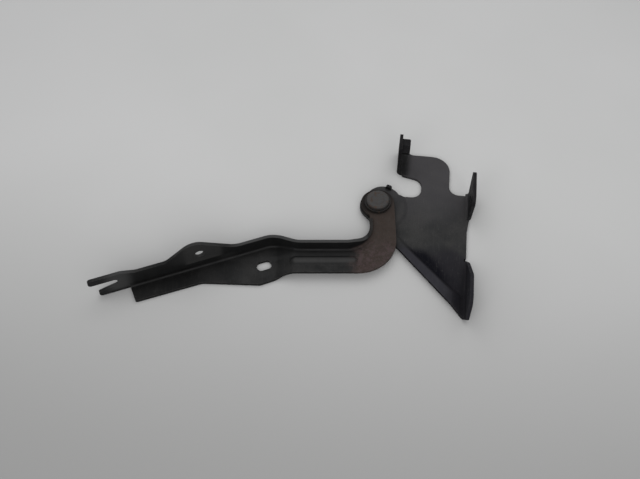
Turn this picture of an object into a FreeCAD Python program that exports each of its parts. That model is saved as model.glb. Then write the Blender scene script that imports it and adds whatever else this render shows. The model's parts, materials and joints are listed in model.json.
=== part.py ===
import FreeCAD, Part
import math
import os

os.makedirs("parts", exist_ok=True)

# Vehicle hood hinge, left open on a bench: a pressed body bracket and a pressed
# hood arm that swings on a headed rivet. Millimetres. The pieces are drawn with
# the pivot axis along +Z through (0, 0), the underside of the bracket plate at
# z = 0 and the bolting faces towards +X. At the end they move together, so that
# the part's origin lies midway between the two body bolt holes, on that face.

Vector = FreeCAD.Vector

# Pressed sheet
BRACKET_SHEET = 3.0
ARM_SHEET = 3.0
BRACKET_BEND = 2.5
ARM_BEND = 2.0
TALL = 80.0

# Bracket plate
FACE_X = 88.5
EDGE_RELIEF = 2.0
RELIEF_CORNER = 1.0
LOBE_RADIUS = 16.5
LUG_CENTRE = (5.0, 7.0)
NECK_EDGE_Y = 14.5
NOTCH_END_X = 40.5
NOTCH_NEAR_Y = 16.0
NOTCH_FAR_Y = 37.5
NOTCH_CORNER = 9.5
TAB_SIDE_SLOPE = 2.0
TAB_ARM_LEFT_X = 30.0
TAB_ARM_TOP_Y = 68.4
TAB_ARM_RIGHT_X = 67.0
TAB_ARM_CORNER = 18.0
EAR_ROOT_Y = 22.9
EAR_ROOT_CORNER = 9.5
WAIST_Y = -19.5
WAIST_CORNER = 8.0
DIAGONAL_TOP = (19.0, -43.0)
LUG_FLANK = (-11.5, -11.5)
FOOT_CORNER_Y = -112.0

# Raised pivot pad and the raised rim along the diagonal edge
PAD_RISE = 3.0
PAD_RADIUS = 25.0
RIM_WIDTH = 6.5
RIM_END_GAP = 1.0
RIM_LEAD_IN = 28.0
RISE_RUN = 4.0
RIM_END_RUN = 9.0
RISE_RADIUS = 3.0

# Small tooth turned up at the far edge of the lug
TOOTH_DIRECTION = 74.0
TOOTH_WIDTH = 5.5
TOOTH_TOP_Z = 9.8
TOOTH_CORNER = 2.0

# Ear, foot and tab flanges
EAR_Y = (-13.5, 25.5)
EAR_ROOT_END_Y = -5.0
EAR_HEIGHT = 41.0
EAR_CORNER = 7.0
FOOT_Y = (-115.5, -50.0)
FOOT_SHOULDER_Y = -87.0
FOOT_HEIGHT = 35.0
FOOT_CORNER = 8.0
FOOT_HEEL_CORNER = 3.0
TAB_FACE_X = 15.5
TAB_Y = (44.0, 63.5)
TAB_ROOT_FAR_Y = 72.0
TAB_ROOT_HEIGHT = 8.0
TAB_HEIGHT = 40.0
TAB_CORNER = 6.0

# Body bolt holes and the weld nut on the tab
BODY_HOLE_RADIUS = 4.5
BODY_HOLE_Z = 20.0
EAR_HOLE_Y = 5.0
FOOT_HOLE_Y = -96.0
NUT_THREAD_RADIUS = 3.35
NUT_FLATS = 13.5
NUT_HEIGHT = 7.5
NUT_BELOW_TAB_TOP = 8.5
NUT_PILOT_RADIUS = 5.2
NUT_PILOT_HEIGHT = 1.6
NUT_CHAMFER = 1.0

# Pivot stack
SHANK_RADIUS = 6.0
RUNNING_FIT = 0.05
END_PLAY = 0.1
BUSH_WALL = 1.5
THRUST_WASHER_RADIUS = 14.0
THRUST_WASHER_THICK = 0.9
HEAD_WASHER_RADIUS = 12.4
HEAD_WASHER_THICK = 2.6
RIVET_HEAD_RADIUS = 10.6
RIVET_HEAD_HEIGHT = 3.6
RIVET_HEAD_EDGE = 1.0
RIVET_DIMPLE_RADIUS = 5.5
RIVET_DIMPLE_DEPTH = 0.4
CLENCH_RADIUS = 9.0
CLENCH_HEIGHT = 2.5
CLENCH_EDGE = 1.2

# Hood arm, drawn with its straight part along -X and then turned to its rest angle
ARM_REST_ANGLE = 6.5
EYE_RADIUS = 15.6
ARM_NECK_INNER_X = -5.5
ARM_NECK_OUTER_X = EYE_RADIUS
ARM_FAR_Y = -53.2
ARM_NEAR_Y = -77.4
ARM_INNER_CORNER = 25.0
ARM_OUTER_CORNER = 36.0
JOGGLE_X = (-79.0, -95.0)
JOGGLE_ROUND = 8.0
PAD_NEAR_START = (-86.0, ARM_NEAR_Y)
PAD_NEAR_SHOULDER = (-108.0, -86.0)
PAD_NEAR_WAIST = (-160.0, -83.9)
PAD_END_NEAR = (-217.5, -103.5)
PAD_NEAR_CORNER = 15.0
PAD_SHOULDER_CORNER = 12.0
PAD_END_CORNER = 2.0
PAD_FAR_START_X = -76.0
PAD_FAR_CREST = (-96.5, -43.6)
PAD_END_FAR = (-223.6, -88.5)
PAD_FAR_START_CORNER = 18.0
PAD_FAR_CREST_CORNER = 18.0
LIP_START_Y = -20.0

# Upstand of the hood arm: heights above the bench, and where each run starts and ends
NECK_LIP_Z = 12.8
STRAIGHT_WALL_Z = 21.0
LOW_WALL_Z = 17.3
LOBE_PEAK_Z = 40.5
WAIST_WALL_Z = 22.3
FORK_TOP_Z = 26.5
NECK_LIP_END_X = -9.0
STRAIGHT_WALL_X = (-23.0, -76.0)
LOW_WALL_X = (-94.0, -131.0)
LOBE_PEAK_X = -167.0
WAIST_WALL_X = (-191.0, -217.0)
FORK_WALL_X = -229.0
NECK_LIP_ROUND = 5.0
WALL_ROUND = 18.0
LOBE_ROUND = 14.0
WAIST_ROUND = 9.0

# Hood bolt hole in the upstand, slot in the web, and the open fork
HOOD_HOLE_X = -161.5
HOOD_HOLE_Z = 22.3
HOOD_HOLE_RADIUS = 4.3
SLOT_CENTRE = (-105.2, -66.2)
SLOT_SIZE = (13.5, 9.5)
SLOT_CORNER = 4.0
SLOT_TURN = 19.4
FORK_TIP_X = -256.0
FORK_LOWER_TIP_X = -249.5
FORK_ROOT_X = -232.0
FORK_ROOT_Z = (12.0, 19.5)
FORK_MOUTH_Z = 7.0
FORK_HEEL_Z = 1.5
FORK_CORNER = 3.0
FORK_MOUTH_CORNER = 2.0
FORK_OVERLAP = 3.0

# Stiffening bead pressed up along the straight part
BEAD_X = (-25.0, -76.0)
BEAD_Y = -65.5
BEAD_HALF_WIDTH = 5.0
BEAD_RISE = 2.0

# Levels that follow from the tab and from the stack
NUT_Z = TAB_HEIGHT - NUT_BELOW_TAB_TOP
PAD_TOP_Z = BRACKET_SHEET + PAD_RISE
THRUST_WASHER_TOP_Z = PAD_TOP_Z + THRUST_WASHER_THICK
ARM_UNDER_Z = THRUST_WASHER_TOP_Z + END_PLAY
ARM_TOP_Z = ARM_UNDER_Z + ARM_SHEET
HEAD_WASHER_Z = ARM_TOP_Z + END_PLAY
RIVET_HEAD_Z = HEAD_WASHER_Z + HEAD_WASHER_THICK
BUSH_OUTER_RADIUS = SHANK_RADIUS + RUNNING_FIT + BUSH_WALL


def plan(u, v):
    return Vector(u, v, 0)


def elevation(u, v):
    return Vector(u, 0, v)


def side(u, v):
    return Vector(0, u, v)


def rounded_face(corners, place):
    """Flat face from (u, v, corner radius) points, set in space by place."""
    arcs = []
    for index, (u, v, radius) in enumerate(corners):
        here = Vector(u, v, 0)
        before = Vector(*corners[index - 1][:2], 0)
        after = Vector(*corners[(index + 1) % len(corners)][:2], 0)
        back = (before - here).normalize()
        ahead = (after - here).normalize()
        half_angle = back.getAngle(ahead) / 2
        if radius == 0:
            arcs.append((here, here, here))
            continue
        reach = radius / math.tan(half_angle)
        bisector = (back + ahead).normalize()
        middle = here + bisector * (radius / math.sin(half_angle) - radius)
        arcs.append((here + back * reach, middle, here + ahead * reach))
    edges = []
    for index, (start, middle, end) in enumerate(arcs):
        previous_end = arcs[index - 1][2]
        if (start - previous_end).Length > 1e-6:
            ends = [place(p.x, p.y) for p in (previous_end, start)]
            edges.append(Part.makeLine(*ends))
        if (end - start).Length > 1e-6:
            points = [place(p.x, p.y) for p in (start, middle, end)]
            edges.append(Part.Arc(*points).toShape())
    return Part.Face(Part.Wire(edges))


def block(corners, place, start, depth):
    """Prism on a rounded outline, from the offset start along the depth vector."""
    face = rounded_face(corners, place)
    face.translate(start)
    return face.extrude(depth)


def offset_points(points, distance):
    """Open polyline moved to its right by a distance, mitred at its corners."""
    moved = []
    for index, point in enumerate(points):
        here = Vector(*point, 0)
        directions = []
        if index > 0:
            directions.append((here - Vector(*points[index - 1], 0)).normalize())
        if index < len(points) - 1:
            directions.append((Vector(*points[index + 1], 0) - here).normalize())
        normals = [Vector(d.y, -d.x, 0) for d in directions]
        mean = normals[0] + normals[-1]
        mitre = mean * (2 * distance / mean.dot(mean))
        moved.append((here.x + mitre.x, here.y + mitre.y))
    return moved


def disc(radius, low, high, x=0.0, y=0.0):
    return Part.makeCylinder(radius, high - low, Vector(x, y, low))


def ring(outer, inner, low, high):
    return disc(outer, low, high).cut(disc(inner, low, high))


def hole_along_x(radius, y, z, low, high):
    return Part.makeCylinder(radius, high - low, Vector(low, y, z), Vector(1, 0, 0))


def flange(outline, face_x, turn):
    """Bent-up flange: a rolled corner section trimmed to the flange's side outline."""
    depth = BRACKET_SHEET + BRACKET_BEND
    section = [
        (0.0, TALL, 0.0),
        (0.0, 0.0, BRACKET_BEND + BRACKET_SHEET),
        (depth, 0.0, 0.0),
        (depth, BRACKET_SHEET, 0.0),
        (BRACKET_SHEET, BRACKET_SHEET, BRACKET_BEND),
        (BRACKET_SHEET, TALL, 0.0),
    ]

    def from_face(u, v):
        return Vector(face_x - turn * u, 0, v)

    rolled = block(section, from_face, Vector(0, -2 * TALL, 0), Vector(0, 4 * TALL, 0))
    trim = block(outline, side, Vector(face_x, 0, 0), Vector(-turn * depth, 0, 0))
    return rolled.common(trim)


def bracket_outline():
    bend_x = FACE_X - BRACKET_SHEET - BRACKET_BEND
    tab_bend_x = TAB_FACE_X + BRACKET_SHEET + BRACKET_BEND
    edge_x = bend_x + EDGE_RELIEF
    return [
        (0.0, NECK_EDGE_Y, 0.0),
        (NOTCH_END_X, NOTCH_NEAR_Y, NOTCH_CORNER),
        (NOTCH_END_X, NOTCH_FAR_Y, NOTCH_CORNER),
        (tab_bend_x, TAB_Y[0] - TAB_SIDE_SLOPE, 0.0),
        (tab_bend_x, TAB_ROOT_FAR_Y, 0.0),
        (TAB_ARM_LEFT_X, TAB_ARM_TOP_Y, TAB_CORNER),
        (TAB_ARM_RIGHT_X, TAB_ARM_TOP_Y, TAB_ARM_CORNER),
        (TAB_ARM_RIGHT_X, EAR_ROOT_Y, EAR_ROOT_CORNER),
        (bend_x, EAR_ROOT_Y, 0.0),
        (bend_x, EAR_ROOT_END_Y, 0.0),
        (edge_x + EDGE_RELIEF, EAR_ROOT_END_Y, RELIEF_CORNER),
        (edge_x, WAIST_Y, WAIST_CORNER),
        (edge_x, FOOT_Y[1], RELIEF_CORNER),
        (bend_x, FOOT_Y[1], 0.0),
        (bend_x, FOOT_CORNER_Y, 0.0),
        (*DIAGONAL_TOP, 0.0),
        (*LUG_FLANK, 0.0),
    ]


def rising_section(middle, crest, run, inner):
    """Section of a raised form from its middle past its hem, over or under the sheet."""
    pitch = math.atan2(PAD_RISE, run)
    inset = BRACKET_SHEET * math.tan(pitch / 2) if inner else 0.0
    low = 0.0 if inner else BRACKET_SHEET
    crest_radius = RISE_RADIUS if inner else RISE_RADIUS + BRACKET_SHEET
    hem_radius = RISE_RADIUS + BRACKET_SHEET if inner else RISE_RADIUS
    past_hem = crest + run + TALL / 4
    return [
        (middle, low - BRACKET_SHEET, 0.0),
        (middle, low + PAD_RISE, 0.0),
        (crest - inset, low + PAD_RISE, crest_radius),
        (crest - inset + run, low, hem_radius),
        (past_hem, low, 0.0),
        (past_hem, low - BRACKET_SHEET, 0.0),
    ]


def raised_form(inner):
    """Round pivot pad and diagonal rim, rolled up out of the plate by the pad's rise."""
    pad_face = rounded_face(rising_section(0.0, PAD_RADIUS, RISE_RUN, inner), elevation)
    pad = pad_face.revolve(Vector(0, 0, 0), Vector(0, 0, 1), 360)
    start = Vector(*DIAGONAL_TOP, 0)
    end = Vector(FACE_X, FOOT_CORNER_Y, 0)
    along = (end - start).normalize()
    inward = Vector(-along.y, along.x, 0)

    def across(u, v):
        return start + inward * u + Vector(0, 0, v)

    section = rising_section(-TALL, RIM_WIDTH, RISE_RUN, inner)
    rim = block(section, across, along * -RIM_LEAD_IN, along * ((end - start).Length + RIM_LEAD_IN))

    # The rim runs out on a slope before it reaches the foot's bend
    slope_top = FACE_X - BRACKET_SHEET - BRACKET_BEND - RIM_END_GAP - RIM_END_RUN
    run_out = rising_section(-TALL, slope_top, RIM_END_RUN, inner)
    rim = rim.common(block(run_out, elevation, Vector(0, TALL, 0), Vector(0, -4 * TALL, 0)))
    return pad.fuse(rim)


def pivot_lug():
    """Round-ended lug that carries the pivot and runs on past it as a shoulder."""
    reach = math.hypot(*LUG_CENTRE)
    lug = disc(LOBE_RADIUS, 0, PAD_TOP_Z).fuse(disc(LOBE_RADIUS, 0, PAD_TOP_Z, *LUG_CENTRE))
    flanks = Part.makeBox(reach, 2 * LOBE_RADIUS, PAD_TOP_Z, Vector(0, -LOBE_RADIUS, 0))
    heading = math.degrees(math.atan2(LUG_CENTRE[1], LUG_CENTRE[0]))
    flanks.rotate(Vector(0, 0, 0), Vector(0, 0, 1), heading)
    return lug.fuse(flanks)


def stop_tooth():
    """Small tooth that stands on the far edge of the lug."""
    facing = math.radians(TOOTH_DIRECTION)
    radial = Vector(math.cos(facing), math.sin(facing), 0)
    tangent = Vector(-radial.y, radial.x, 0)
    edge = Vector(*LUG_CENTRE, 0) + radial * LOBE_RADIUS

    def upright(u, v):
        return edge + tangent * u + Vector(0, 0, v)

    half = TOOTH_WIDTH / 2
    return block([
        (-half, PAD_RISE, 0.0),
        (half, PAD_RISE, 0.0),
        (half, TOOTH_TOP_Z, TOOTH_CORNER),
        (-half, TOOTH_TOP_Z, TOOTH_CORNER),
    ], upright, Vector(0, 0, 0), radial * -BRACKET_SHEET)


def body_bracket():
    up = Vector(0, 0, PAD_TOP_Z)
    blank = block(bracket_outline(), plan, Vector(0, 0, 0), up)
    blank = blank.fuse(pivot_lug())
    flat = Part.makeBox(4 * TALL, 4 * TALL, BRACKET_SHEET, Vector(-2 * TALL, -2 * TALL, 0))
    plate = blank.common(flat.fuse(raised_form(False))).cut(raised_form(True))

    # The upturned flanges
    ear = flange([
        (EAR_ROOT_END_Y, BRACKET_SHEET + BRACKET_BEND, 0.0),
        (EAR_ROOT_END_Y, 0.0, 0.0),
        (EAR_Y[1], 0.0, 0.0),
        (EAR_Y[1], EAR_HEIGHT, EAR_CORNER),
        (EAR_Y[0], EAR_HEIGHT, EAR_CORNER),
    ], FACE_X, 1)
    foot = flange([
        (FOOT_CORNER_Y, 0.0, 0.0),
        (FOOT_Y[1], 0.0, 0.0),
        (FOOT_SHOULDER_Y, FOOT_HEIGHT, FOOT_CORNER),
        (FOOT_Y[0], FOOT_HEIGHT, FOOT_CORNER),
        (FOOT_Y[0], BRACKET_SHEET + BRACKET_BEND, FOOT_HEEL_CORNER),
    ], FACE_X, 1)
    tab = flange([
        (TAB_Y[0], 0.0, 0.0),
        (TAB_ROOT_FAR_Y, 0.0, 0.0),
        (TAB_ROOT_FAR_Y, TAB_ROOT_HEIGHT, TAB_CORNER),
        (TAB_Y[1], TAB_HEIGHT, TAB_CORNER),
        (TAB_Y[0], TAB_HEIGHT, TAB_CORNER),
    ], TAB_FACE_X, -1)
    bracket = plate.fuse([ear, foot, tab, stop_tooth()]).removeSplitter()

    # Holes: pivot, two body bolts and the nut's pilot
    for hole in (
        disc(SHANK_RADIUS, -1, TALL),
        hole_along_x(BODY_HOLE_RADIUS, EAR_HOLE_Y, BODY_HOLE_Z, FACE_X - TALL / 8, FACE_X + 1),
        hole_along_x(BODY_HOLE_RADIUS, FOOT_HOLE_Y, BODY_HOLE_Z, FACE_X - TALL / 8, FACE_X + 1),
        hole_along_x(NUT_PILOT_RADIUS, sum(TAB_Y) / 2, NUT_Z, TAB_FACE_X - 1, TAB_FACE_X + TALL / 8),
    ):
        bracket = bracket.cut(hole)
    return bracket


def weld_nut():
    """Hexagon weld nut with a pilot collar that sits in the tab's hole."""
    base = TAB_FACE_X + BRACKET_SHEET
    centre = Vector(base, sum(TAB_Y) / 2, NUT_Z)
    corner_radius = NUT_FLATS / math.sqrt(3)
    corners = []
    for step in range(6):
        angle = math.radians(60 * step)
        corner_y = centre.y + corner_radius * math.cos(angle)
        corner_z = centre.z + corner_radius * math.sin(angle)
        corners.append((corner_y, corner_z, 0.0))
    nut = block(corners, side, Vector(base, 0, 0), Vector(NUT_HEIGHT, 0, 0))
    wide = corner_radius + NUT_HEIGHT - NUT_CHAMFER
    narrow = corner_radius - NUT_CHAMFER
    shaper = Part.makeCone(wide, narrow, NUT_HEIGHT, centre, Vector(1, 0, 0))
    nut = nut.common(shaper)
    pilot = hole_along_x(NUT_PILOT_RADIUS, centre.y, centre.z, base - NUT_PILOT_HEIGHT, base)
    thread = hole_along_x(NUT_THREAD_RADIUS, centre.y, centre.z, base - TALL / 8, base + TALL / 8)
    return nut.fuse(pilot).removeSplitter().cut(thread)


def pivot_rivet():
    """Rivet with a dimpled head on top and a clenched head in the pad's recess."""
    top = RIVET_HEAD_Z + RIVET_HEAD_HEIGHT
    clench_low = BRACKET_SHEET - CLENCH_HEIGHT
    profile = [
        (0.0, clench_low, 0.0),
        (CLENCH_RADIUS - CLENCH_EDGE, clench_low, 0.0),
        (CLENCH_RADIUS, clench_low + CLENCH_EDGE, 0.0),
        (CLENCH_RADIUS, BRACKET_SHEET, 0.0),
        (SHANK_RADIUS, BRACKET_SHEET, 0.0),
        (SHANK_RADIUS, RIVET_HEAD_Z, 0.0),
        (RIVET_HEAD_RADIUS, RIVET_HEAD_Z, 0.0),
        (RIVET_HEAD_RADIUS, top - RIVET_HEAD_EDGE, 0.0),
        (RIVET_HEAD_RADIUS - RIVET_HEAD_EDGE, top, 0.0),
        (RIVET_DIMPLE_RADIUS + RIVET_HEAD_EDGE, top, 0.0),
        (RIVET_DIMPLE_RADIUS, top - RIVET_DIMPLE_DEPTH, 0.0),
        (0.0, top - RIVET_DIMPLE_DEPTH, 0.0),
    ]
    return rounded_face(profile, elevation).revolve(Vector(0, 0, 0), Vector(0, 0, 1), 360)


def far_line():
    """Inner face of the upstand in plan, from the neck to the end of the hood pad."""
    return [
        (ARM_NECK_INNER_X, 0.0),
        (ARM_NECK_INNER_X, ARM_FAR_Y),
        (PAD_FAR_START_X, ARM_FAR_Y),
        PAD_FAR_CREST,
        PAD_END_FAR,
    ]


def arm_outline(wall):
    """Plan of the arm with its far side moved out by the wall."""
    far = offset_points(far_line(), wall)
    far_radii = [
        0.0,
        ARM_INNER_CORNER - wall,
        PAD_FAR_START_CORNER - wall,
        PAD_FAR_CREST_CORNER + wall,
        0.0,
    ]
    outline = [
        (ARM_NECK_OUTER_X, 0.0, 0.0),
        (ARM_NECK_OUTER_X, ARM_NEAR_Y, ARM_OUTER_CORNER),
        (*PAD_NEAR_START, PAD_NEAR_CORNER),
        (*PAD_NEAR_SHOULDER, PAD_SHOULDER_CORNER),
        (*PAD_NEAR_WAIST, PAD_NEAR_CORNER),
        (*PAD_END_NEAR, PAD_END_CORNER),
    ]
    if wall > 0:
        outline.append((*PAD_END_FAR, 0.0))
    for point, radius in reversed(list(zip(far, far_radii))):
        outline.append((*point, radius))
    return outline


def arm_floor(level):
    """Elevation of the space above the web's top or underside, with its joggle."""
    start, end = JOGGLE_X
    drop = ARM_UNDER_Z
    pitch = math.atan2(drop, start - end)
    shift = (level - ARM_UNDER_Z) * math.tan(pitch / 2)
    low = level - drop
    return [
        (TALL, level, 0.0),
        (start + shift, level, JOGGLE_ROUND),
        (end + shift, low, JOGGLE_ROUND),
        (FORK_TIP_X - TALL, low, 0.0),
        (FORK_TIP_X - TALL, TALL, 0.0),
        (TALL, TALL, 0.0),
    ]


def lying_on(line, tolerance):
    """Test for edges whose plan lies along a polyline's rounded wall."""
    walls = Part.Wire(line)

    def test(edge):
        low, high = edge.ParameterRange
        for share in (0.15, 0.5, 0.85):
            point = edge.valueAt(low + (high - low) * share)
            foot = Part.Vertex(Vector(point.x, point.y, 0))
            if foot.distToShape(walls)[0] > tolerance:
                return False
        start, end = edge.valueAt(low), edge.valueAt(high)
        return math.hypot(start.x - end.x, start.y - end.y) > 0.2
    return test


def far_wall_edges(wall):
    """Edges of the arm's far side in plan, moved out by the wall."""
    face = rounded_face(arm_outline(wall), plan)
    far = offset_points(far_line(), wall)
    lowest_y = min(point[1] for point in far)
    kept = []
    for edge in face.OuterWire.Edges:
        middle = edge.valueAt(sum(edge.ParameterRange) / 2)
        on_neck = middle.x > ARM_NECK_INNER_X
        on_near_side = middle.y < far_y_at(far, middle.x) - 2 * ARM_SHEET
        if not on_neck and not on_near_side and middle.y >= lowest_y:
            kept.append(edge)
    return kept


def far_y_at(points, x):
    """Height of an open polyline at one x, level beyond its ends."""
    for (x0, y0), (x1, y1) in zip(points, points[1:]):
        if x1 < x <= x0 and x0 > x1:
            return y0 + (y1 - y0) * (x0 - x) / (x0 - x1)
    return points[1][1]


def arm_block(wall, level, bend):
    """Solid above one face of the sheet, with the bend along its far side."""
    solid = block(arm_outline(wall), plan, Vector(0, 0, -1), Vector(0, 0, TALL))
    above = block(arm_floor(level), elevation, Vector(0, TALL, 0), Vector(0, -4 * TALL, 0))
    solid = solid.common(above)
    on_wall = lying_on(far_wall_edges(wall), 0.05)

    def at_foot(edge):
        low, high = edge.ParameterRange
        middle = edge.valueAt((low + high) / 2)
        return middle.z < level + 1.0 and on_wall(edge)
    return solid.makeFillet(bend, [edge for edge in solid.Edges if at_foot(edge)])


def upstand_region():
    """Elevation of the whole arm with the shaped top of its upstand."""
    return [
        (TALL, -1.0, 0.0),
        (TALL, NECK_LIP_Z, 0.0),
        (NECK_LIP_END_X, NECK_LIP_Z, NECK_LIP_ROUND),
        (STRAIGHT_WALL_X[0], STRAIGHT_WALL_Z, LOBE_ROUND),
        (STRAIGHT_WALL_X[1], STRAIGHT_WALL_Z, WALL_ROUND),
        (LOW_WALL_X[0], LOW_WALL_Z, WALL_ROUND),
        (LOW_WALL_X[1], LOW_WALL_Z, WALL_ROUND),
        (LOBE_PEAK_X, LOBE_PEAK_Z, LOBE_ROUND),
        (WAIST_WALL_X[0], WAIST_WALL_Z, WAIST_ROUND),
        (WAIST_WALL_X[1], WAIST_WALL_Z, WAIST_ROUND),
        (FORK_WALL_X, FORK_TOP_Z, WAIST_ROUND),
        (FORK_TIP_X - 1.0, FORK_TOP_Z, 0.0),
        (FORK_TIP_X - 1.0, -1.0, 0.0),
    ]


def bead(radius):
    """Rounded bead: a bar with ball ends along the middle of the straight part."""
    crest_radius = (BEAD_HALF_WIDTH ** 2 + BEAD_RISE ** 2) / (2 * BEAD_RISE)
    axis_z = ARM_TOP_Z + BEAD_RISE - crest_radius
    start = Vector(BEAD_X[0], BEAD_Y, axis_z)
    length = BEAD_X[0] - BEAD_X[1]
    bar = Part.makeCylinder(crest_radius + radius, length, start, Vector(-1, 0, 0))
    for x in BEAD_X:
        bar = bar.fuse(Part.makeSphere(crest_radius + radius, Vector(x, BEAD_Y, axis_z)))
    return bar


def fork():
    """Upstand beyond the web, split into two fingers by a tapering slot."""
    inner = far_line()[-2:]
    outer = offset_points(inner, ARM_SHEET)
    start = Vector(*inner[1], 0)
    along = (start - Vector(*inner[0], 0)).normalize()
    out = Vector(along.y, -along.x, 0)

    def on_wall(u, v):
        return start + along * u + Vector(0, 0, v)

    def station(x):
        return (x - inner[1][0]) / along.x

    return block([
        (-FORK_OVERLAP, ARM_SHEET + ARM_BEND, 0.0),
        (0.0, FORK_HEEL_Z, 0.0),
        (station(FORK_LOWER_TIP_X), FORK_HEEL_Z, FORK_CORNER),
        (station(FORK_LOWER_TIP_X), FORK_MOUTH_Z, FORK_MOUTH_CORNER),
        (station(FORK_ROOT_X), FORK_ROOT_Z[0], FORK_CORNER),
        (station(FORK_ROOT_X), FORK_ROOT_Z[1], FORK_CORNER),
        (station(FORK_TIP_X), FORK_ROOT_Z[1], FORK_CORNER),
        (station(FORK_TIP_X), FORK_TOP_Z, FORK_CORNER),
        (-FORK_OVERLAP, FORK_TOP_Z, 0.0),
    ], on_wall, Vector(0, 0, 0), out * ARM_SHEET)


def hood_slot():
    half_x, half_y = SLOT_SIZE[0] / 2, SLOT_SIZE[1] / 2
    corners = []
    for sign_x, sign_y in ((1, 1), (-1, 1), (-1, -1), (1, -1)):
        corners.append((sign_x * half_x, sign_y * half_y, SLOT_CORNER))
    slot = block(corners, plan, Vector(0, 0, -1), Vector(0, 0, ARM_TOP_Z))
    slot.rotate(Vector(0, 0, 0), Vector(0, 0, 1), SLOT_TURN)
    slot.translate(Vector(*SLOT_CENTRE, 0))
    return slot


def hood_hole():
    """Round hole through the upstand, square to its outer run."""
    first, last = far_line()[-2:]
    along = (Vector(*last, 0) - Vector(*first, 0)).normalize()
    out = Vector(along.y, -along.x, 0)
    y = far_y_at(far_line(), HOOD_HOLE_X)
    start = Vector(HOOD_HOLE_X, y, HOOD_HOLE_Z) - out * ARM_SHEET
    return Part.makeCylinder(HOOD_HOLE_RADIUS, 3 * ARM_SHEET, start, out)


def to_rest(shape):
    turned = shape.copy()
    turned.rotate(Vector(0, 0, 0), Vector(0, 0, 1), ARM_REST_ANGLE)
    return turned


def hinge_arm():
    outside = arm_block(ARM_SHEET, ARM_UNDER_Z, ARM_BEND + ARM_SHEET)
    inside = arm_block(0.0, ARM_TOP_Z, ARM_BEND)

    # Nothing stands above the web round the eye
    open_side = Part.makeBox(2 * TALL, TALL, TALL, Vector(-TALL, LIP_START_Y, ARM_TOP_Z))
    arm = outside.cut(inside)
    arm = arm.fuse(disc(EYE_RADIUS, ARM_UNDER_Z, ARM_TOP_Z)).cut(open_side)
    shaped = block(upstand_region(), elevation, Vector(0, TALL, 0), Vector(0, -4 * TALL, 0))
    arm = arm.common(shaped)
    arm = arm.fuse(bead(0.0).common(disc(TALL * 2, ARM_TOP_Z - 1, TALL)))
    arm = arm.cut(bead(-ARM_SHEET).common(disc(TALL * 2, 0, ARM_TOP_Z)))
    arm = arm.fuse(fork().common(shaped)).removeSplitter()
    for hole in (disc(BUSH_OUTER_RADIUS, 0, TALL), hood_slot(), hood_hole()):
        arm = arm.cut(hole)
    return to_rest(arm)


pieces = {
    "body_bracket": body_bracket(),
    "tab_weld_nut": weld_nut(),
    "pivot_rivet": pivot_rivet(),
    "thrust_washer": ring(THRUST_WASHER_RADIUS, SHANK_RADIUS, PAD_TOP_Z, THRUST_WASHER_TOP_Z),
    "head_washer": ring(HEAD_WASHER_RADIUS, SHANK_RADIUS, HEAD_WASHER_Z, RIVET_HEAD_Z),
    "hinge_arm": hinge_arm(),
    "pivot_bush": ring(BUSH_OUTER_RADIUS, SHANK_RADIUS + RUNNING_FIT, ARM_UNDER_Z, ARM_TOP_Z),
}

datum = Vector(FACE_X, (EAR_HOLE_Y + FOOT_HOLE_Y) / 2, BODY_HOLE_Z)

for name, shape in pieces.items():
    solid = shape if shape.ShapeType == "Solid" else shape.Solids[0]
    solid.translate(-datum)
    print(name, len(shape.Solids), shape.isValid(), round(shape.Volume), solid.BoundBox)
    solid.exportStep("parts/" + name + ".step")
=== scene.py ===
"""Looks of an opened vehicle hood hinge lying on a pale bench. Metres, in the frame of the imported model."""

import json
import math

import bpy
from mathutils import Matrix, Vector


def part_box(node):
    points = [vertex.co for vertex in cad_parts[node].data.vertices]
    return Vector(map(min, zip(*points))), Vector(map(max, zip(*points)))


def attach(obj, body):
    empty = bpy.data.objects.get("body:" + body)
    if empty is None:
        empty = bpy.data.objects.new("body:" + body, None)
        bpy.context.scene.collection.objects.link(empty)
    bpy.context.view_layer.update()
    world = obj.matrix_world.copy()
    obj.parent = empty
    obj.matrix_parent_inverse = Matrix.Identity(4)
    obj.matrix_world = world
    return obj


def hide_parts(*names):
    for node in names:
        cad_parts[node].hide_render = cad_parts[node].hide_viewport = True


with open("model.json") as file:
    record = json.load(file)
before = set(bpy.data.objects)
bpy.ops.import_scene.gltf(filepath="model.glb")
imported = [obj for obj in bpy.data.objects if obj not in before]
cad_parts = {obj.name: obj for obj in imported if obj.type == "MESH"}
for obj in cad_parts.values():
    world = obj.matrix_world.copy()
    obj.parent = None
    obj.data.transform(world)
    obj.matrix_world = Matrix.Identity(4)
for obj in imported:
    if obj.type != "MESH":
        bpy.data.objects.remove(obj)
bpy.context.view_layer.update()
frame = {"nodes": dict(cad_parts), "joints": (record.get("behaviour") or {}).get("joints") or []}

MM = 0.001

# Camera: lens and place that give the photograph's view, 55 degrees above the bench
LENS_MM = 50.625
SENSOR_MM = 36.0
CAMERA_PLACE = (-0.0842, -0.4726, 0.6656)
CAMERA_TILT = math.radians(35.0)
CAMERA_TURN = math.radians(6.5)

# Light: a pale sky, a soft key above and behind the part, and a soft fill in front of it
SKY_COLOUR = (0.97, 0.98, 1.0, 1.0)
SKY_STRENGTH = 0.52
KEY = {"place": (-0.12, 0.4, 0.9), "size": (1.1, 0.9), "power": 3.6, "aim": (-0.12, 0.05, 0.0)}
FILL = {"place": (-0.1, -0.8, 0.65), "size": (1.2, 0.7), "power": 5.2, "aim": (-0.12, 0.0, 0.0)}

# Bench: a little below the part, with painted shade that darkens it towards the front
BENCH_SIZE = 30.0
BENCH_GAP = 0.1 * MM
BENCH_X = -0.15
BENCH_GREYS = (0.532, 0.532, 0.524, 1.0), (0.558, 0.556, 0.551, 1.0)
BENCH_FRONT_SHADE = (0.30, 0.298, 0.294, 1.0)
BENCH_FRONT_Y = (0.12, -0.3)
BENCH_ROUGHNESS = 0.75
BENCH_SPECULAR = 0.2

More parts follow.
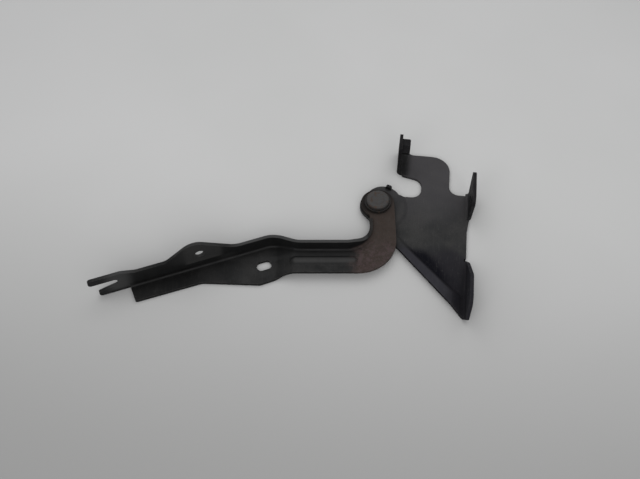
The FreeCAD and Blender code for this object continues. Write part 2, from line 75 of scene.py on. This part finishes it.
# The pivot joint and the arm's turn at rest, which place the wear on the arm
PIVOT = Vector(frame["joints"][0]["pos_m"])
ARM_REST = math.radians(6.5)
BENCH_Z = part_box("body_bracket")[0].z

# Weld nut: across flats, its collar in the tab's hole, and its thread, in millimetres
NUT_FLATS = 13.5
NUT_CHAMFER = 1.0
NUT_CHAMFER_STEPS = 4
COLLAR_LENGTH = 1.6
COLLAR_RADIUS = 5.2
COLLAR_EDGE = 0.3
THREAD_CREST = 3.35
THREAD_DEPTH = 0.65
THREAD_PITCH = 1.25
THREAD_STEPS = 10
NUT_POINTS_ROUND = 96

# Zones of the finish in millimetres: x and y from the pivot, turned with the arm on the arm, and z above
# the bench. Two numbers are a zone's faint and full ends. Three are a band's two sides and their softness.
DUSTY_Y = (-30.0, 30.0)
NOT_FLANGE_Z = (8.0, 3.5)
LOW_END_Y = (-34.0, -56.0)
RIM_SHADE_Y = (-40.0, -50.0)
RIM_SHADE_Z = (5.9, 4.6)
RIM_SHADE_REACH = (27.0, 15.0)
RIM_SHADE_END_X = (58.0, 76.0)
RIM_HIGHLIGHT_Z = (5.6, 5.95)
RIM_HIGHLIGHT_X = (78.0, 62.0)
TAB_ROOT_X = (31.0, 23.0)
TAB_ROOT_Y = (38.0, 44.0)
FLANGE_Z = (6.5, 9.0)
NOT_FOOT_Y = (-45.0, -30.0)
BEAD_Z = (11.0, 11.9)
BEAD_Y = (-71.0, -60.0, 1.0)
LOBE_X = (-182.0, -142.0, 9.0)
LOBE_Z = (12.0, 18.0)
WALL_EDGE_Z = (13.0, 15.0)
WALL_EDGE_X = (-140.0, -120.0)
FORK_ROOT_X = (-240.0, -222.0, 6.0)
FORK_ROOT_Z = (3.0, 6.0)
PAD_END_X = (-219.0, -165.0, 12.0)
PAD_END_Z = (9.0, 7.0)
CHANNEL_Y = (-61.0, -56.5, 1.5)
CHANNEL_Z = (11.4, 10.6)
NECK_X = (-30.0, -14.0)
NECK_Z = (13.5, 11.0)
RED_Y = (-36.0, -58.0)
EYE_RING_RADIUS = (8.0, 17.0, 1.0)
EYE_RING_SIDE = (-14.0, 2.0)

# Line along the bracket's rim: the shares of x and y, and the constant, that give a point's distance from it
RIM_LINE = (0.74, 0.67, 15.0)
RIM_SHADE_RAGGED = 0.3
RIM_SHADE_AT_FOOT = 0.25
EYE_RING_SLANT = -0.6

# Uneven edges of zones: noise scale, detail and roughness, and width in millimetres
BRACKET_RAGGED = (0.06, 3.0, 0.6, 30.0)
ARM_RAGGED = (0.14, 4.0, 0.65, 26.0)

# Patches: noise scale, detail and roughness, and the noise levels of a patch's outer and inner edge
DUST_CLOUDS = (0.035, 4.0, 0.6, 0.35, 0.7)
DUST_SPECKS = (0.9, 2.0, 0.6, 0.3, 0.7)
GLOSS_PATCHES = (0.12, 3.0, 0.55, 0.3, 0.7)
RUBBED_PATCHES = (0.45, 4.0, 0.7, 0.42, 0.62)
RED_PATCHES = (0.35, 4.0, 0.7, 0.4, 0.62)
RUST_PATCHES = (0.8, 3.0, 0.7, 0.6, 0.72)
STEEL_STAINS = (0.25, 4.0, 0.65, 0.62, 0.75)
STEEL_SPECKS = (1.1, 3.0, 0.7, 0.54, 0.66)
BRONZE_GLOSS_PATCHES = (1.5, 3.0, 0.55, 0.3, 0.7)
BENCH_CLOUDS = (3.0, 3.0, 0.55, 0.3, 0.7)

# Plain noises: scale, then detail and roughness where they aren't the helper's own
BROWN_NOISE = (0.2, 4.0, 0.7)
STEEL_NOISE = (0.6,)
STEEL_GRAIN = (1.2,)
BRONZE_NOISE = (0.5,)
BRONZE_GRAIN = (3.0,)
PAINT_GRAIN = (1.4, 2.0)
PAINT_WAVES = (0.08, 3.0)
PAINT_WAVE_HEIGHT = 6.0
RUST_HEIGHT = 2.0

# Scratches: noise scale and turn of the lines, their slimness, noise and width
BRACKET_LINES = (0.9, 0.5)
ARM_LINES = (0.8, 1.3)
LINE_SLIMNESS = 0.05
LINE_NOISE = (1.0, 2.0, 0.4)
LINE_WIDTH = 0.012

# Steps between levels: how far a face looks up, how open a corner is, and the cosine across an edge
DUST_SETTLES = (0.2, 0.95)
WALL_HIGHLIGHT_UP = (0.5, 0.9)
CORNER_OPEN = (0.3, 0.95)
EDGE_TURN = (0.995, 0.9)
LEAST_DUST_SPECK = 0.6


def grey(level, warm=0.0):
    """Linear colour from a plain level, a little warmer or cooler."""
    return (level * (1 + warm), level, level * (1 - warm), 1.0)


# Coats over the paint, among them painted shade and highlights: each one's share and its linear colour
PLATE_DUST = 0.7, (0.0565, 0.0535, 0.0565, 1.0)
LOW_END = 0.75, (0.0115, 0.0105, 0.0145, 1.0)
RIM_SHADE = 1.0, (0.001, 0.001, 0.0035, 1.0)
RIM_CREST_HIGHLIGHT = 1.0, (0.0265, 0.026, 0.0315, 1.0)
TAB_ROOT_SHADE = 0.9, grey(0.002)
BRACKET_SCRATCHES = 0.35, grey(0.07, 0.04)
BRACKET_EDGES = 0.5, grey(0.075, 0.06)
BEAD_HIGHLIGHT = 0.7, grey(0.034, 0.02)
LOBE = 0.6, grey(0.017)
WALL_EDGE_HIGHLIGHT = 0.8, grey(0.04)
FORK_ROOT = 0.7, grey(0.042)
PAD_END = 0.8, grey(0.001)
CHANNEL = 0.5, grey(0.016)
RED = 1.0, (0.052, 0.035, 0.035, 1.0)
RUST = 0.55, (0.085, 0.042, 0.024, 1.0)
ARM_SCRATCHES = 0.3, grey(0.05, 0.05)
EYE_DARK_RING = 0.85, (0.006, 0.0045, 0.004, 1.0)
ARM_EDGES = 0.45, grey(0.07, 0.08)

# Painted shade on the upright flanges: its share, and its colour on the foot and on the ear and tab
FLANGE_SHADE_SHARE = 0.9
FOOT_FLANGE_SHADE = (0.014, 0.0135, 0.0175, 1.0)
EAR_AND_TAB_SHADE = (0.005, 0.0045, 0.0055, 1.0)
NECK_BROWNS = (0.025, 0.0185, 0.0145, 1.0), (0.040, 0.0285, 0.024, 1.0)
# Colour of the painted shade in corners
CORNER_SHADE = (0.004, 0.0035, 0.0035, 1.0)

# Painted shade in corners: its reach and share
BRACKET_CORNER_SHADE = (8 * MM, 0.6)
ARM_CORNER_SHADE = (9 * MM, 0.8)
STEEL_CORNER_SHADE = (4 * MM, 0.8)

# Steel: its darker and lighter tone as shares of the grey level with their warmth, its rust, and each piece
STEEL_TONES = (0.8, 0.02), (1.2, 0.01)
STEEL_RUST = (0.05, 0.030, 0.020, 1.0)
STEEL_STAIN_SHARE = 0.8
STEEL_SPECK_SHARE = 0.7
RUST_ROUGHNESS = 0.8
STEEL_PIECES = {
    "pivot_rivet": {"name": "rivet_steel", "level": 0.042, "stained": 0.1, "matt": 0.6, "metallic": 0.1},
    "head_washer": {"name": "washer_steel", "level": 0.012, "stained": 0.06, "matt": 0.6, "metallic": 0.1},
    "thrust_washer": {"name": "thrust_steel", "level": 0.06, "stained": 0.08, "matt": 0.5, "metallic": 0.3},
}

BRONZES = (0.32, 0.21, 0.10, 1.0), (0.48, 0.34, 0.18, 1.0)
BRONZE_ROUGHNESS = (0.3, 0.45)

# Paint levels: dust and bare paint, and the gloss
BRACKET_LEVELS = (0.034, 0.018)
ARM_LEVELS = (0.016, 0.005)
PAINT_TINT = 0.03
PAINT_ROUGHNESS = (0.5, 0.66)
LOW_END_ROUGHER = 0.25
NECK_ROUGHER = 0.15
BRACKET_SPECULAR = 0.13
ARM_SPECULAR = 0.2
STEEL_SPECULAR = 0.25

# Rounding that shading gives to the sheets' edges, and the width over which paint is rubbed off them
SHEET_EDGE = 0.6 * MM
RUBBED_EDGE = 0.9 * MM
STEEL_EDGE = 0.3 * MM
SHADE_SAMPLES = 6

# Bumps: strength and height
PAINT_BUMP = (0.25, 0.12 * MM)
STEEL_BUMP = (0.3, 0.1 * MM)
BRONZE_BUMP = (0.1, 0.05 * MM)


class Nodes:
    """Small helper that builds a shader node tree from expressions."""

    def __init__(self, name):
        self.material = bpy.data.materials.new(name)
        self.material.use_nodes = True
        self.tree = self.material.node_tree
        self.tree.nodes.clear()

    def add(self, kind, **settings):
        node = self.tree.nodes.new(kind)
        for key, value in settings.items():
            setattr(node, key, value)
        return node

    def feed(self, socket, value):
        if isinstance(value, bpy.types.NodeSocket):
            self.tree.links.new(value, socket)
        elif value is not None:
            socket.default_value = value

    def math(self, operation, a, b=None, c=None):
        node = self.add("ShaderNodeMath", operation=operation)
        for socket, value in zip(node.inputs, (a, b, c)):
            self.feed(socket, value)
        return node.outputs[0]

    def both(self, *masks):
        """Product of masks or shares."""
        product = masks[0]
        for mask in masks[1:]:
            product = self.math("MULTIPLY", product, mask)
        return product

    def ramp(self, value, low, high, to_low=0.0, to_high=1.0):
        """Smooth step of a value between two levels."""
        node = self.add("ShaderNodeMapRange", interpolation_type="SMOOTHSTEP")
        for socket, item in zip(node.inputs, (value, low, high, to_low, to_high)):
            self.feed(socket, item)
        return node.outputs[0]

    def band(self, value, low, high, soft):
        """1 between two levels, with soft ends."""
        rise = self.ramp(value, low - soft, low + soft)
        fall = self.ramp(value, high - soft, high + soft, 1.0, 0.0)
        return self.both(rise, fall)

    def noise(self, where, scale, detail=3.0, rough=0.55):
        node = self.add("ShaderNodeTexNoise")
        self.feed(node.inputs["Vector"], where)
        node.inputs["Scale"].default_value = scale
        node.inputs["Detail"].default_value = detail
        node.inputs["Roughness"].default_value = rough
        return node.outputs[0]

    def patches(self, where, pattern, to_low=0.0, to_high=1.0):
        *noise, low, high = pattern
        return self.ramp(self.noise(where, *noise), low, high, to_low, to_high)

    def ragged(self, where, pattern):
        """Noise about 0 that makes a zone's edge uneven by up to half a width."""
        *noise, width = pattern
        return self.both(self.math("SUBTRACT", self.noise(where, *noise), 0.5), width)

    def stretched(self, where, scale, turn):
        node = self.add("ShaderNodeMapping")
        self.feed(node.inputs["Vector"], where)
        node.inputs["Scale"].default_value = scale
        node.inputs["Rotation"].default_value = (0.0, 0.0, turn)
        return node.outputs[0]

    def mix(self, factor, a, b):
        node = self.add("ShaderNodeMix", data_type="RGBA")
        self.feed(node.inputs["Factor"], factor)
        self.feed(node.inputs["A"], a)
        self.feed(node.inputs["B"], b)
        return node.outputs["Result"]

    def cover(self, colour, mask, coat):
        """Colour with a coat over it, which has its share where the mask is 1."""
        share, own = coat
        return self.mix(self.both(mask, share), colour, own)

    def bump(self, height, strength, distance, normal=None):
        node = self.add("ShaderNodeBump")
        node.inputs["Strength"].default_value = strength
        node.inputs["Distance"].default_value = distance
        self.feed(node.inputs["Height"], height)
        self.feed(node.inputs["Normal"], normal)
        return node.outputs[0]

    def place(self, turn=0.0):
        """The point in millimetres about the pivot, turned with the arm, and its x, y and z."""
        coordinates = self.add("ShaderNodeTexCoord").outputs["Object"]
        shifted = self.add("ShaderNodeVectorMath", operation="SUBTRACT")
        self.feed(shifted.inputs[0], coordinates)
        shifted.inputs[1].default_value = (PIVOT.x, PIVOT.y, BENCH_Z)
        turned = self.add("ShaderNodeVectorRotate", rotation_type="Z_AXIS")
        self.feed(turned.inputs["Vector"], shifted.outputs[0])
        turned.inputs["Angle"].default_value = -turn
        scaled = self.add("ShaderNodeVectorMath", operation="SCALE")
        self.feed(scaled.inputs[0], turned.outputs[0])
        scaled.inputs["Scale"].default_value = 1.0 / MM
        split = self.add("ShaderNodeSeparateXYZ")
        self.feed(split.inputs[0], scaled.outputs[0])
        return scaled.outputs[0], split.outputs[0], split.outputs[1], split.outputs[2]

    def soft_edges(self, radius):
        node = self.add("ShaderNodeBevel", samples=SHADE_SAMPLES)
        node.inputs["Radius"].default_value = radius
        return node.outputs[0]

    def rubbed_edges(self, where):
        """How far the paint has gone along edges: where a rounded normal leaves the flat one, broken up."""
        turn = self.add("ShaderNodeVectorMath", operation="DOT_PRODUCT")
        self.feed(turn.inputs[0], self.soft_edges(RUBBED_EDGE))
        self.feed(turn.inputs[1], self.add("ShaderNodeNewGeometry").outputs["Normal"])
        edge = self.ramp(turn.outputs["Value"], *EDGE_TURN)
        return self.both(edge, self.patches(where, RUBBED_PATCHES))

    def facing_up(self):
        """How far the surface faces up, as for settled dust and for the painted highlight on the wall's top
        edge.
        """
        split = self.add("ShaderNodeSeparateXYZ")
        self.feed(split.inputs[0], self.add("ShaderNodeNewGeometry").outputs["Normal"])
        return split.outputs[2]

    def scratches(self, where, lines):
        """Fine long scratches: thin crests of a stretched noise."""
        scale, turn = lines
        drawn = self.stretched(where, (scale, scale * LINE_SLIMNESS, scale), turn)
        noise = self.noise(drawn, *LINE_NOISE)
        crest = self.math("ABSOLUTE", self.math("SUBTRACT", noise, 0.5))
        return self.ramp(crest, 0.0, LINE_WIDTH, 1.0, 0.0)

    def corner_shade(self, colour, painted_shade):
        """Colour darkened by painted shade in corners, the more the corner is closed in."""
        reach, share = painted_shade
        corner = self.add("ShaderNodeAmbientOcclusion", samples=SHADE_SAMPLES)
        corner.inputs["Distance"].default_value = reach
        dark = self.ramp(corner.outputs["AO"], *CORNER_OPEN, share, 0.0)
        return self.mix(dark, colour, CORNER_SHADE)

    def surface(self, colour, roughness, normal=None, metallic=0.0, specular=0.5):
        shader = self.add("ShaderNodeBsdfPrincipled")
        self.feed(shader.inputs["Base Color"], colour)
        self.feed(shader.inputs["Roughness"], roughness)
        self.feed(shader.inputs["Metallic"], metallic)
        shader.inputs["Specular IOR Level"].default_value = specular
        self.feed(shader.inputs["Normal"], normal)
        output = self.add("ShaderNodeOutputMaterial")
        self.feed(output.inputs["Surface"], shader.outputs[0])
        return self.material


def paint_base(nodes, where, levels):
    """Dull black paint: its colour with dust, its roughness and its bump height."""
    dust_level, base_level = levels
    settled = nodes.both(nodes.patches(where, DUST_CLOUDS), nodes.ramp(nodes.facing_up(), *DUST_SETTLES))
    dust = nodes.both(settled, nodes.patches(where, DUST_SPECKS, LEAST_DUST_SPECK, 1.0))
    colour = nodes.mix(dust, grey(base_level, -PAINT_TINT), grey(dust_level, PAINT_TINT))
    rough = nodes.patches(where, GLOSS_PATCHES, *PAINT_ROUGHNESS)
    waves = nodes.both(nodes.noise(where, *PAINT_WAVES), PAINT_WAVE_HEIGHT)
    height = nodes.math("ADD", nodes.noise(where, *PAINT_GRAIN), waves)
    return colour, rough, height


def painted(nodes, colour, rough, height, specular):
    """Finished paint: fine bump over softly rounded edges."""
    normal = nodes.bump(height, *PAINT_BUMP, nodes.soft_edges(SHEET_EDGE))
    return nodes.surface(colour, rough, normal, 0.0, specular)


def bracket_paint():
    """Black paint, dusty on the upper half of the plate, dark at the low end, with painted shade beside the
    rim, on the foot, the ear and the tab and in corners, and a painted highlight on the rim's crest.
    """
    nodes = Nodes("bracket_paint")
    where, x, y, z = nodes.place()
    colour, rough, height = paint_base(nodes, where, BRACKET_LEVELS)
    ragged = nodes.ragged(where, BRACKET_RAGGED)
    uneven_y = nodes.math("ADD", y, ragged)
    dusty = nodes.both(nodes.ramp(uneven_y, *DUSTY_Y), nodes.ramp(z, *NOT_FLANGE_Z))
    colour = nodes.cover(colour, dusty, PLATE_DUST)
    low_end = nodes.ramp(uneven_y, *LOW_END_Y)
    colour = nodes.cover(colour, low_end, LOW_END)

    # Shade along the foot of the rim, weaker towards the foot flange
    along_x, along_y, start = RIM_LINE
    from_rim = nodes.math("MULTIPLY_ADD", x, along_x, nodes.math("MULTIPLY_ADD", y, along_y, start))
    from_rim = nodes.math("MULTIPLY_ADD", ragged, RIM_SHADE_RAGGED, from_rim)
    beside_rim = nodes.both(nodes.ramp(from_rim, *RIM_SHADE_REACH), nodes.ramp(z, *RIM_SHADE_Z))
    uneven_x = nodes.math("MULTIPLY_ADD", ragged, RIM_SHADE_RAGGED, x)
    before_foot = nodes.ramp(uneven_x, *RIM_SHADE_END_X, 1.0, RIM_SHADE_AT_FOOT)
    shade = nodes.both(nodes.ramp(y, *RIM_SHADE_Y), beside_rim, before_foot)
    colour = nodes.cover(colour, shade, RIM_SHADE)

    # Painted highlight along the rim's crest
    crest = nodes.both(low_end, nodes.ramp(z, *RIM_HIGHLIGHT_Z), nodes.ramp(x, *RIM_HIGHLIGHT_X))
    colour = nodes.cover(colour, crest, RIM_CREST_HIGHLIGHT)
    # Painted shade in the corner at the tab's root
    tab_root_shade = nodes.both(nodes.ramp(x, *TAB_ROOT_X), nodes.ramp(y, *TAB_ROOT_Y))
    colour = nodes.cover(colour, tab_root_shade, TAB_ROOT_SHADE)
    # Painted shade on the upright flanges, deeper on the ear and tab than on the foot
    upright_shade = nodes.mix(nodes.ramp(y, *NOT_FOOT_Y), FOOT_FLANGE_SHADE, EAR_AND_TAB_SHADE)
    colour = nodes.mix(nodes.both(nodes.ramp(z, *FLANGE_Z), FLANGE_SHADE_SHARE), colour, upright_shade)
    colour = nodes.cover(colour, nodes.scratches(where, BRACKET_LINES), BRACKET_SCRATCHES)
    colour = nodes.cover(colour, nodes.rubbed_edges(where), BRACKET_EDGES)
    # Painted shade darkening the corners
    colour = nodes.corner_shade(colour, BRACKET_CORNER_SHADE)
    rough = nodes.math("ADD", rough, nodes.both(low_end, LOW_END_ROUGHER))
    return painted(nodes, colour, rough, height, BRACKET_SPECULAR)


def arm_paint():
    """Black paint, worn brown and rusty on the neck."""
    nodes = Nodes("arm_paint")
    where, x, y, z = nodes.place(ARM_REST)
    colour, rough, height = paint_base(nodes, where, ARM_LEVELS)

    # Painted highlights on the bead's crest and on the wall's top edge; rubbed lighter on the lobe and the
    # fork's root, dark at the pad's end
    bead_highlight = nodes.both(nodes.ramp(z, *BEAD_Z), nodes.band(y, *BEAD_Y))
    colour = nodes.cover(colour, bead_highlight, BEAD_HIGHLIGHT)
    lobe = nodes.both(nodes.band(x, *LOBE_X), nodes.ramp(z, *LOBE_Z))
    colour = nodes.cover(colour, lobe, LOBE)
    # Painted highlight on the wall's top edge where it faces up
    edge = nodes.both(nodes.ramp(nodes.facing_up(), *WALL_HIGHLIGHT_UP), nodes.ramp(z, *WALL_EDGE_Z))
    edge = nodes.both(edge, nodes.ramp(x, *WALL_EDGE_X))
    colour = nodes.cover(colour, edge, WALL_EDGE_HIGHLIGHT)
    fork_root = nodes.both(nodes.band(x, *FORK_ROOT_X), nodes.ramp(z, *FORK_ROOT_Z))
    colour = nodes.cover(colour, fork_root, FORK_ROOT)
    pad_end = nodes.both(nodes.band(x, *PAD_END_X), nodes.ramp(z, *PAD_END_Z))
    colour = nodes.cover(colour, pad_end, PAD_END)
    channel = nodes.both(nodes.ramp(z, *CHANNEL_Z), nodes.band(y, *CHANNEL_Y))
    colour = nodes.cover(colour, channel, CHANNEL)

    # Brown wear on the neck, redder round the bend, with rust where the paint has gone
    ragged = nodes.ragged(where, ARM_RAGGED)
    neck = nodes.both(nodes.ramp(nodes.math("ADD", x, ragged), *NECK_X), nodes.ramp(z, *NECK_Z))
    brown = nodes.mix(nodes.noise(where, *BROWN_NOISE), *NECK_BROWNS)
    colour = nodes.mix(neck, colour, brown)
    red = nodes.both(neck, nodes.ramp(nodes.math("ADD", y, ragged), *RED_Y))
    red = nodes.both(red, nodes.patches(where, RED_PATCHES))
    colour = nodes.cover(colour, red, RED)
    rust = nodes.both(neck, nodes.patches(where, RUST_PATCHES))
    colour = nodes.cover(colour, rust, RUST)
    colour = nodes.cover(colour, nodes.scratches(where, ARM_LINES), ARM_SCRATCHES)

    # Darker ring on the eye, round the far side of the rivet's head
    flat = nodes.add("ShaderNodeCombineXYZ")
    nodes.feed(flat.inputs[0], x)
    nodes.feed(flat.inputs[1], y)
    from_pivot = nodes.add("ShaderNodeVectorMath", operation="LENGTH")
    nodes.feed(from_pivot.inputs[0], flat.outputs[0])
    far_side = nodes.ramp(nodes.math("ADD", y, nodes.both(x, EYE_RING_SLANT)), *EYE_RING_SIDE)
    dark_ring = nodes.both(nodes.band(from_pivot.outputs["Value"], *EYE_RING_RADIUS), far_side)
    colour = nodes.cover(colour, dark_ring, EYE_DARK_RING)

    colour = nodes.cover(colour, nodes.rubbed_edges(where), ARM_EDGES)
    # Painted shade darkening the corners
    colour = nodes.corner_shade(colour, ARM_CORNER_SHADE)
    rough = nodes.math("ADD", rough, nodes.both(neck, NECK_ROUGHER))
    height = nodes.math("ADD", height, nodes.both(rust, RUST_HEIGHT))
    return painted(nodes, colour, rough, height, ARM_SPECULAR)


def worn_steel(name, level, stained, matt, metallic):
    """Dull steel of a grey level, with specks of rust and with stains that grow with a share."""
    nodes = Nodes(name)
    where = nodes.place()[0]
    *noise, low, high = STEEL_STAINS
    stain = nodes.patches(where, (*noise, low - stained, high - stained))
    speck = nodes.patches(where, STEEL_SPECKS)
    rust = nodes.math("MAXIMUM", nodes.both(stain, STEEL_STAIN_SHARE), nodes.both(speck, STEEL_SPECK_SHARE))
    tones = [grey(level * share, warm) for share, warm in STEEL_TONES]
    metal = nodes.mix(nodes.noise(where, *STEEL_NOISE), *tones)
    colour = nodes.mix(rust, metal, STEEL_RUST)
    # Painted shade darkening the corners
    colour = nodes.corner_shade(colour, STEEL_CORNER_SHADE)
    rough = nodes.ramp(rust, 0.0, 1.0, matt, RUST_ROUGHNESS)
    normal = nodes.bump(nodes.noise(where, *STEEL_GRAIN), *STEEL_BUMP, nodes.soft_edges(STEEL_EDGE))
    bare = nodes.ramp(rust, 0.0, STEEL_STAIN_SHARE, metallic, 0.0)
    return nodes.surface(colour, rough, normal, bare, STEEL_SPECULAR)


def bronze():
    nodes = Nodes("bush_bronze")
    where = nodes.place()[0]
    colour = nodes.mix(nodes.noise(where, *BRONZE_NOISE), *BRONZES)
    rough = nodes.patches(where, BRONZE_GLOSS_PATCHES, *BRONZE_ROUGHNESS)
    return nodes.surface(colour, rough, nodes.bump(nodes.noise(where, *BRONZE_GRAIN), *BRONZE_BUMP), 1.0)


def dress(node, material):
    piece = frame["nodes"][node]
    piece.data.materials.clear()
    piece.data.materials.append(material)


def nut_rings(length):
    """Rings of the nut's skin, in order round its section: a place along the axis and a radius by angle."""
    mouth = THREAD_CREST + THREAD_DEPTH + COLLAR_EDGE

    def hexagon(angle):
        return NUT_FLATS / 2 / math.cos(angle % (math.pi / 3) - math.pi / 6)

    def chamfered(along):
        return lambda angle: min(hexagon(angle), hexagon(0.0) - NUT_CHAMFER + length - along)

    def threaded(along):
        def radius(angle):
            turn = (along / THREAD_PITCH - angle / (2 * math.pi)) % 1.0
            groove = THREAD_CREST + THREAD_DEPTH * (1 - abs(2 * turn - 1))
            return max(groove, mouth - min(along, length - along))
        return radius

    rings = [(COLLAR_LENGTH, hexagon)]
    for step in range(NUT_CHAMFER_STEPS + 1):
        along = length - NUT_CHAMFER * (1 - step / NUT_CHAMFER_STEPS)
        rings.append((along, chamfered(along)))
    steps = round(length / THREAD_PITCH * THREAD_STEPS)
    for step in range(steps + 1):
        along = length * (1 - step / steps)
        rings.append((along, threaded(along)))
    rings.append((0.0, lambda angle: COLLAR_RADIUS - COLLAR_EDGE))
    rings.append((COLLAR_EDGE, lambda angle: COLLAR_RADIUS))
    rings.append((COLLAR_LENGTH, lambda angle: COLLAR_RADIUS))
    return rings


def weld_nut():
    """Weld nut with its thread cut, in the place of the plain one."""
    low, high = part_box("tab_weld_nut")
    rings = nut_rings((high.x - low.x) / MM)
    points = []
    for along, radius in rings:
        for index in range(NUT_POINTS_ROUND):
            angle = 2 * math.pi * index / NUT_POINTS_ROUND
            reach = radius(angle) * MM
            y = (low.y + high.y) / 2 + reach * math.cos(angle)
            z = (low.z + high.z) / 2 + reach * math.sin(angle)
            points.append((low.x + along * MM, y, z))
    faces = []
    for ring in range(len(rings)):
        after = (ring + 1) % len(rings)
        for index in range(NUT_POINTS_ROUND):
            side = (index + 1) % NUT_POINTS_ROUND
            corners = (ring, index), (ring, side), (after, side), (after, index)
            faces.append([r * NUT_POINTS_ROUND + i for r, i in corners])
    mesh = bpy.data.meshes.new("threaded_weld_nut")
    mesh.from_pydata(points, [], faces)
    mesh.validate()
    piece = bpy.data.objects.new("threaded_weld_nut", mesh)
    bpy.context.scene.collection.objects.link(piece)
    return piece


def floor():
    bpy.ops.mesh.primitive_plane_add(size=BENCH_SIZE, location=(BENCH_X, 0.0, BENCH_Z - BENCH_GAP))
    plane = bpy.context.object
    plane.name = "bench"
    nodes = Nodes("bench_grey")
    coordinates = nodes.add("ShaderNodeTexCoord").outputs["Object"]
    colour = nodes.mix(nodes.patches(coordinates, BENCH_CLOUDS), *BENCH_GREYS)
    split = nodes.add("ShaderNodeSeparateXYZ")
    nodes.feed(split.inputs[0], coordinates)
    # Painted shade darkening the bench towards the front
    front_shade = nodes.ramp(split.outputs[1], *BENCH_FRONT_Y)
    colour = nodes.mix(front_shade, colour, BENCH_FRONT_SHADE)
    plane.data.materials.append(nodes.surface(colour, BENCH_ROUGHNESS, None, 0.0, BENCH_SPECULAR))


def area_lamp(name, place, size, power, aim):
    lamp = bpy.data.lights.new(name, "AREA")
    lamp.shape = "RECTANGLE"
    lamp.size, lamp.size_y = size
    lamp.energy = power
    holder = bpy.data.objects.new(name, lamp)
    bpy.context.scene.collection.objects.link(holder)
    holder.location = place
    holder.rotation_euler = (Vector(aim) - Vector(place)).to_track_quat("-Z", "Y").to_euler()


def light():
    world = bpy.data.worlds.new("studio")
    bpy.context.scene.world = world
    world.use_nodes = True
    background = world.node_tree.nodes["Background"]
    background.inputs["Color"].default_value = SKY_COLOUR
    background.inputs["Strength"].default_value = SKY_STRENGTH
    area_lamp("key", **KEY)
    area_lamp("fill", **FILL)


def camera():
    data = bpy.data.cameras.new("view")
    data.lens = LENS_MM
    data.sensor_width = SENSOR_MM
    holder = bpy.data.objects.new("view", data)
    bpy.context.scene.collection.objects.link(holder)
    holder.location = CAMERA_PLACE
    holder.rotation_euler = (CAMERA_TILT, 0.0, CAMERA_TURN)
    bpy.context.scene.camera = holder


bracket_coat = bracket_paint()
nut = weld_nut()
nut.data.materials.append(bracket_coat)
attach(nut, "bracket")
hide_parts("tab_weld_nut")

dress("body_bracket", bracket_coat)
dress("tab_weld_nut", bracket_coat)
dress("hinge_arm", arm_paint())
for node, look in STEEL_PIECES.items():
    dress(node, worn_steel(**look))
dress("pivot_bush", bronze())

floor()
light()
camera()
bpy.context.scene.view_settings.view_transform = "Standard"
